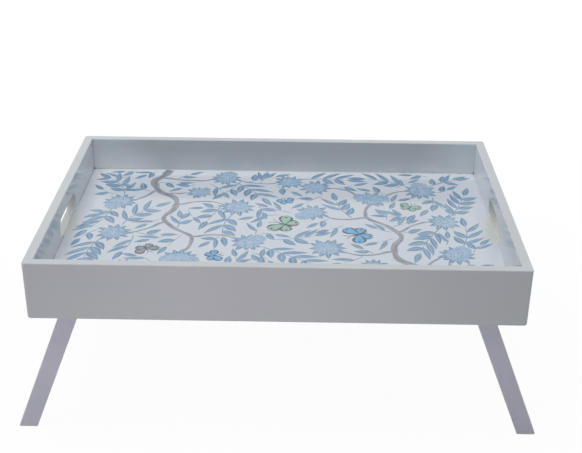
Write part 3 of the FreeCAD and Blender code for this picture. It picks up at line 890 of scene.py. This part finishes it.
def butterfly(centre, way, span, colour):
    """A small butterfly seen from above."""
    shape = bulge(WING_STATIONS, WING_SKEW, WING_POWER)
    for side in (1, -1):
        for angle, share, broad in WINGS:
            creatures.raise_level()
            heading = turned(way, side * angle)
            path = arc_path(centre, heading, span / 2 * share, side * WING_BEND, WING_STATIONS)
            widths = [span / 2 * share * broad * part for part in shape]
            creatures.ribbon(path, widths, WING_RIB, (INK, colour, INK))
            creatures.raise_level()
            before, after = path[SPOT_STATION:SPOT_STATION + 2]
            spot = before + (after - before) * SPOT_SHIFT
            disc(creatures, spot, span * SPOT_SIZE, INK, SPOT_POINTS)
    creatures.raise_level()
    body = arc_path(centre - way * span * BODY_BACK, way, span * BODY_LENGTH, 0, BODY_STATIONS)
    widths = [span * BODY_WIDTH * part for part in bulge(BODY_STATIONS, BODY_SKEW)]
    creatures.ribbon(body, widths, PLAIN_RIB, (INK,) * 3)
    for side in (1, -1):
        heading = turned(way, side * FEELER_ANGLE)
        feeler = arc_path(centre + way * span * FEELER_FOOT, heading, span * FEELER_LENGTH,
                          side * FEELER_BEND, FEELER_STATIONS)
        creatures.ribbon(feeler, [FEELER_WIDTH] * FEELER_STATIONS, PLAIN_RIB, (INK,) * 3)
    ground.take([centre], span / 2)


# Branches; the sines make them knotty and crooked

POINTS_PER_SPAN = 11
KNOT_SWELL, KNOT_PACE, KNOT_BEAT, WIDTH_RANGE = 0.2, 1.1, 0.37, (0.93, 1.07)
CROOK, CROOK_PACE = 0.35, 0.83
FOOT_SHARE = 0.02
BARK_RIB, BARK_GAP = 0.72, 0.8 * MM
STREAK_TONES = (BARK_DARK, BARK_DARK, BARK_LIGHT)
STREAK_POINTS, STREAK_OFFSETS, STREAK_WIDTH, STREAK_STEPS = 5, (-0.5, 0.5), 0.14, 4


def vine(knots, thick, thin, step):
    """A branch that tapers from its blunt foot to its tip, streaked and edged in blue."""
    count = POINTS_PER_SPAN * (len(knots) - 1)
    path = smooth_path(knots, count)
    widths = []
    for index in range(count):
        knot = KNOT_SWELL * math.sin(index * KNOT_PACE + thick / MM)
        swell = 1 + knot * math.sin(index * KNOT_BEAT)
        width = (thick + (thin - thick) * index / (count - 1)) / 2
        widths.append(width * swell * random.uniform(*WIDTH_RANGE))
    for index in range(2, count - 1):
        heading = (path[index + 1] - path[index - 1]).normalized()
        aside = turned(heading, 90) * widths[index] * CROOK
        path[index] += aside * math.sin(index * CROOK_PACE + count)
    path.insert(1, path[0].lerp(path[1], FOOT_SHARE))
    widths.insert(1, widths[0])
    wood.set_step(step)
    wood.ribbon(path, widths, BARK_RIB, (BARK_EDGE, BARK, BARK_EDGE))
    for start in range(1, count - STREAK_POINTS - 1, 2):
        tone = random.choice(STREAK_TONES)
        offset = random.uniform(*STREAK_OFFSETS)
        stretch = zip(path[start:], path[start + 1:start + 1 + STREAK_POINTS], widths[start:])
        streak = [here + turned((there - here).normalized(), 90) * wide * offset
                  for here, there, wide in stretch]
        wood.set_step(step + 1 + start // 2 % STREAK_STEPS)
        wood.ribbon(
            streak, [widths[start] * STREAK_WIDTH] * len(streak), PLAIN_RIB, (tone,) * 3)
    for here, there, width in zip(path, path[1:], widths):
        ground.take([here, here.lerp(there, 0.5)], width + BARK_GAP)
    return path


# The layout: two branches from the long sides, the second one the first turned half round

BRANCH = [(-0.60, 1.0), (-0.66, 0.70), (-0.52, 0.40), (-0.56, 0.08), (-0.41, -0.20), (-0.45, -0.46)]
TWIGS = [
    [(-0.63, 0.62), (-0.72, 0.44), (-0.80, 0.40)],
    [(-0.53, 0.36), (-0.38, 0.42), (-0.24, 0.34)],
    [(-0.55, 0.06), (-0.67, -0.10), (-0.78, -0.12)],
    [(-0.43, -0.18), (-0.28, -0.14), (-0.16, -0.24)],
    [(-0.44, -0.36), (-0.56, -0.62), (-0.70, -0.66)],
    [(-0.44, -0.42), (-0.32, -0.66), (-0.18, -0.70)],
    [(-0.62, 0.84), (-0.44, 0.80), (-0.30, 0.85), (-0.12, 0.76), (0.02, 0.80)],
    [(-0.60, 0.52), (-0.51, 0.56), (-0.43, 0.58)],
]
# Place, outward direction, how many heads, radius of the largest in millimetres
POSIES = [
    (-0.80, 0.40, 165, 2, 16), (-0.22, 0.32, 20, 1, 17),
    (-0.78, -0.12, 190, 1, 16), (-0.15, -0.25, 330, 2, 16),
    (-0.70, -0.66, 200, 2, 17), (-0.17, -0.70, 0, 1, 16),
    (-0.30, 0.85, 0, 2, 15), (-0.45, -0.50, 270, 3, 16),
    (0.03, 0.80, 350, 1, 15), (-0.42, 0.58, 60, 1, 13),
]
POSY_SPRAYS = (0, -40, 40, -80, 80, -120, 120)
# Place, heading, span in millimetres, colour
BUTTERFLIES = [
    (0.02, 0.04, 150, 56, MINT), (-0.30, -0.46, 20, 34, SKY), (0.37, -0.10, 205, 54, SKY),
    (0.63, 0.36, 65, 36, MINT), (-0.61, -0.36, 300, 38, MOTH_GREY), (0.02, 0.44, 110, 30, SKY),
]
VINE_FOOT, VINE_TIP = 12.5 * MM, 4.0 * MM
TWIG_FOOT, TWIG_TIP = 4.6 * MM, 2.0 * MM
VINE_STEP = 5
CURVE_POINTS = 120
SPRAY_SPACING = 6
SPRAY_LENGTH, TWIG_SHARE = 78 * MM, 0.85
TIP_TURNS, SIDE_TURNS, POSY_TURNS = (-25, 25), ((30, 85), (-85, -30)), (-20, 20)
# Length and scale of the smaller sprays, the largest first
FILLER_SIZES = [(72 * MM, 0.95), (52 * MM, 0.9), (36 * MM, 0.85), (24 * MM, 0.8)]
FILL_TRIES, FILL_X, FILL_Y = 5000, (-0.9, 0.9), (-1, 1)
FILL_REACH, FILL_GAP = 100 * MM, 4 * MM
FILL_HEADINGS, FILL_TURNS = (-50, 50), (-40, 40)


def on_panel(across, along):
    """A place on the panel from shares of its printed half length and half width."""
    return Vector((across * (INSIDE_X - PRINT_MARGIN), along * (INSIDE_Y - 2 * PRINT_MARGIN)))


def grow_sprays(path, long):
    """Set sprays on both sides along a stem and one at its tip."""
    spray(path[-1], (path[-1] - path[-2]).normalized(), long, TIP_TURNS)
    for count, index in enumerate(range(SPRAY_SPACING, len(path) - 2, SPRAY_SPACING)):
        heading = (path[index + 1] - path[index - 1]).normalized()
        side = 1 if count % 2 else -1
        for low, high in SIDE_TURNS:
            spray(path[index], heading, long, (side * low, side * high))


branches = []
for sign in (1, -1):
    main_knots = [on_panel(sign * u, sign * v) for u, v in BRANCH]
    middle_line = smooth_path(main_knots, CURVE_POINTS)
    for knots in TWIGS:
        places = [on_panel(sign * u, sign * v) for u, v in knots]
        places[0] = min(middle_line, key=lambda point: (point - places[0]).length)
        branches.append((vine(places, TWIG_FOOT, TWIG_TIP, 0), SPRAY_LENGTH * TWIG_SHARE))
    branches.append((vine(main_knots, VINE_FOOT, VINE_TIP, VINE_STEP), SPRAY_LENGTH))
for u, v, turn, span, colour in BUTTERFLIES:
    butterfly(on_panel(u, v), turned(ALONG_X, turn), span * MM, colour)
for sign in (1, -1):
    for u, v, turn, heads, radius in POSIES:
        posy(on_panel(sign * u, sign * v), turn + 90 - 90 * sign, heads, radius * MM)
for sign in (1, -1):
    for u, v, turn, heads, radius in POSIES:
        centre = on_panel(sign * u, sign * v)
        for angle in POSY_SPRAYS:
            way = turned(Vector((sign, 0)), turn + angle)
            spray(centre + way * radius * POSY_EDGE * MM, way, SPRAY_LENGTH, POSY_TURNS)
for path, long in branches:
    grow_sprays(path, long)

# Smaller sprays fill the gaps, all growing away from the branches
branch_points = [point for path, _ in branches for point in path]
for _ in range(FILL_TRIES):
    place = on_panel(random.uniform(*FILL_X), random.uniform(*FILL_Y))
    source = min(branch_points, key=lambda point: (place - point).length)
    if (place - source).length > FILL_REACH or not ground.free([place], FILL_GAP):
        continue
    way = turned((place - source).normalized(), random.uniform(*FILL_HEADINGS))
    for long, scale in FILLER_SIZES:
        if spray(place - way * long / 3, way, long, FILL_TURNS, scale, tries=6, needed=0.6):
            break

for sheet in (leaves, stems, wood, flowers, creatures):
    sheet.finish()


# Floor and light

FLOOR_REACH = 6.0
FLOOR_WHITE = (0.66, 0.61, 0.64, 1.0)
FLOOR_SHADED = 0.06
FLOOR_GLOW = 1.02
SHADOW_FADE = (0.45, 1.5)
AMBIENT = 0.33
AMBIENT_TINT = (0.88, 0.95, 1.0, 1.0)
WHITE = (1.0, 1.0, 1.0, 1.0)


def shown_rays(tree):
    """1 for rays from the camera, a mirror or glass, and 0 for those that light other things."""
    rays = tree.nodes.new("ShaderNodeLightPath").outputs
    shown = rays["Is Camera Ray"]
    for name in ("Is Glossy Ray", "Is Transmission Ray"):
        most = tree.nodes.new("ShaderNodeMath")
        most.operation = "MAXIMUM"
        tree.links.new(shown, most.inputs[0])
        tree.links.new(rays[name], most.inputs[1])
        shown = most.outputs[0]
    return shown


def show_white(tree, lit, white, output):
    """Use one surface for the light it gives and another, white one, where it is seen."""
    mix = tree.nodes.new("ShaderNodeMixShader")
    tree.links.new(shown_rays(tree), mix.inputs[0])
    tree.links.new(lit, mix.inputs[1])
    tree.links.new(white, mix.inputs[2])
    tree.links.new(mix.outputs[0], tree.nodes[output].inputs["Surface"])


def make_floor():
    """A plain pale floor, seen as white with a trace of the shadows near the object."""
    mesh = bpy.data.meshes.new("floor")
    corners = [(x * FLOOR_REACH, y * FLOOR_REACH, 0) for x, y in CORNERS]
    mesh.from_pydata(corners, [], [(0, 1, 2, 3)])
    shader = Shader("floor")
    shader.tree.nodes.remove(shader.surface)
    plain = shader.add("ShaderNodeBsdfDiffuse")
    plain.inputs["Color"].default_value = FLOOR_WHITE
    glow = shader.add("ShaderNodeEmission")
    glow.inputs["Strength"].default_value = FLOOR_GLOW
    away = shader.add("ShaderNodeVectorMath", operation="LENGTH")
    shader.wire(shader.place, away.inputs[0])
    seen = shader.add("ShaderNodeMixShader")
    shade = shader.spread(away.outputs["Value"], *SHADOW_FADE, FLOOR_SHADED, 0.0)
    for socket, output in zip(seen.inputs, (shade, glow.outputs[0], plain.outputs[0])):
        shader.wire(output, socket)
    show_white(shader.tree, plain.outputs[0], seen.outputs[0], "Material Output")
    mesh.materials.append(shader.material)
    floor = add_object("floor", mesh)


def light_world():
    """An even pale sky for light, seen as plain white."""
    world = bpy.data.worlds.new("studio")
    bpy.context.scene.world = world
    world.use_nodes = True
    tree = world.node_tree
    sky = tree.nodes["Background"]
    sky.inputs["Color"].default_value = AMBIENT_TINT
    sky.inputs["Strength"].default_value = AMBIENT
    white = tree.nodes.new("ShaderNodeBackground")
    white.inputs["Color"].default_value = WHITE
    show_white(tree, sky.outputs[0], white.outputs[0], "World Output")


def soft_box(name, place, target, size, power, colour=WHITE[:3]):
    """A square soft lamp that faces a target."""
    lamp = bpy.data.lights.new(name, "AREA")
    lamp.shape = "SQUARE"
    lamp.size = size
    lamp.energy = power
    lamp.color = colour
    holder = add_object(name, lamp)
    holder.location = place
    way = Vector(target) - Vector(place)
    holder.rotation_euler = way.to_track_quat("-Z", "Y").to_euler()
    holder.visible_camera = False
    holder.visible_glossy = False


make_floor()
light_world()
MIDDLE = (0, 0, PANEL_TOP)
soft_box("top_light", (-0.35, 0.0, 2.2), MIDDLE, 1.8, 31)
soft_box("left_light", (-2.4, -0.2, 1.0), MIDDLE, 1.4, 10)
soft_box("right_light", (2.4, 0.3, 0.8), MIDDLE, 1.4, 4)
soft_box("back_light", (0.3, 2.4, 0.7), MIDDLE, 1.4, 8)
soft_box("front_light", (-0.08, -0.64, 0.23), (-0.08, -0.2, 0.205), 0.2, 0.42, (1.0, 0.90, 0.92))


# Camera at the photograph's viewing angle

CAMERA_PLACE = Vector((0.02701, -1.26211, 0.83819))
PITCH_DOWN = math.radians(26.8385)
ROLL = math.radians(0.5798)
YAW = math.radians(0.5952)
LENS = 64.4314
SENSOR = 36.0

rotation = (Matrix.Rotation(YAW, 3, "Z") @ Matrix.Rotation(math.pi / 2 - PITCH_DOWN, 3, "X")
            @ Matrix.Rotation(ROLL, 3, "Z"))
camera_data = bpy.data.cameras.new("camera")
camera_data.lens = LENS
camera_data.sensor_width = SENSOR
camera_data.sensor_fit = "HORIZONTAL"
camera_data.clip_start = 0.01
camera = add_object("camera", camera_data)
camera.matrix_world = Matrix.Translation(CAMERA_PLACE) @ rotation.to_4x4()
bpy.context.scene.camera = camera
bpy.context.scene.view_settings.view_transform = "Standard"
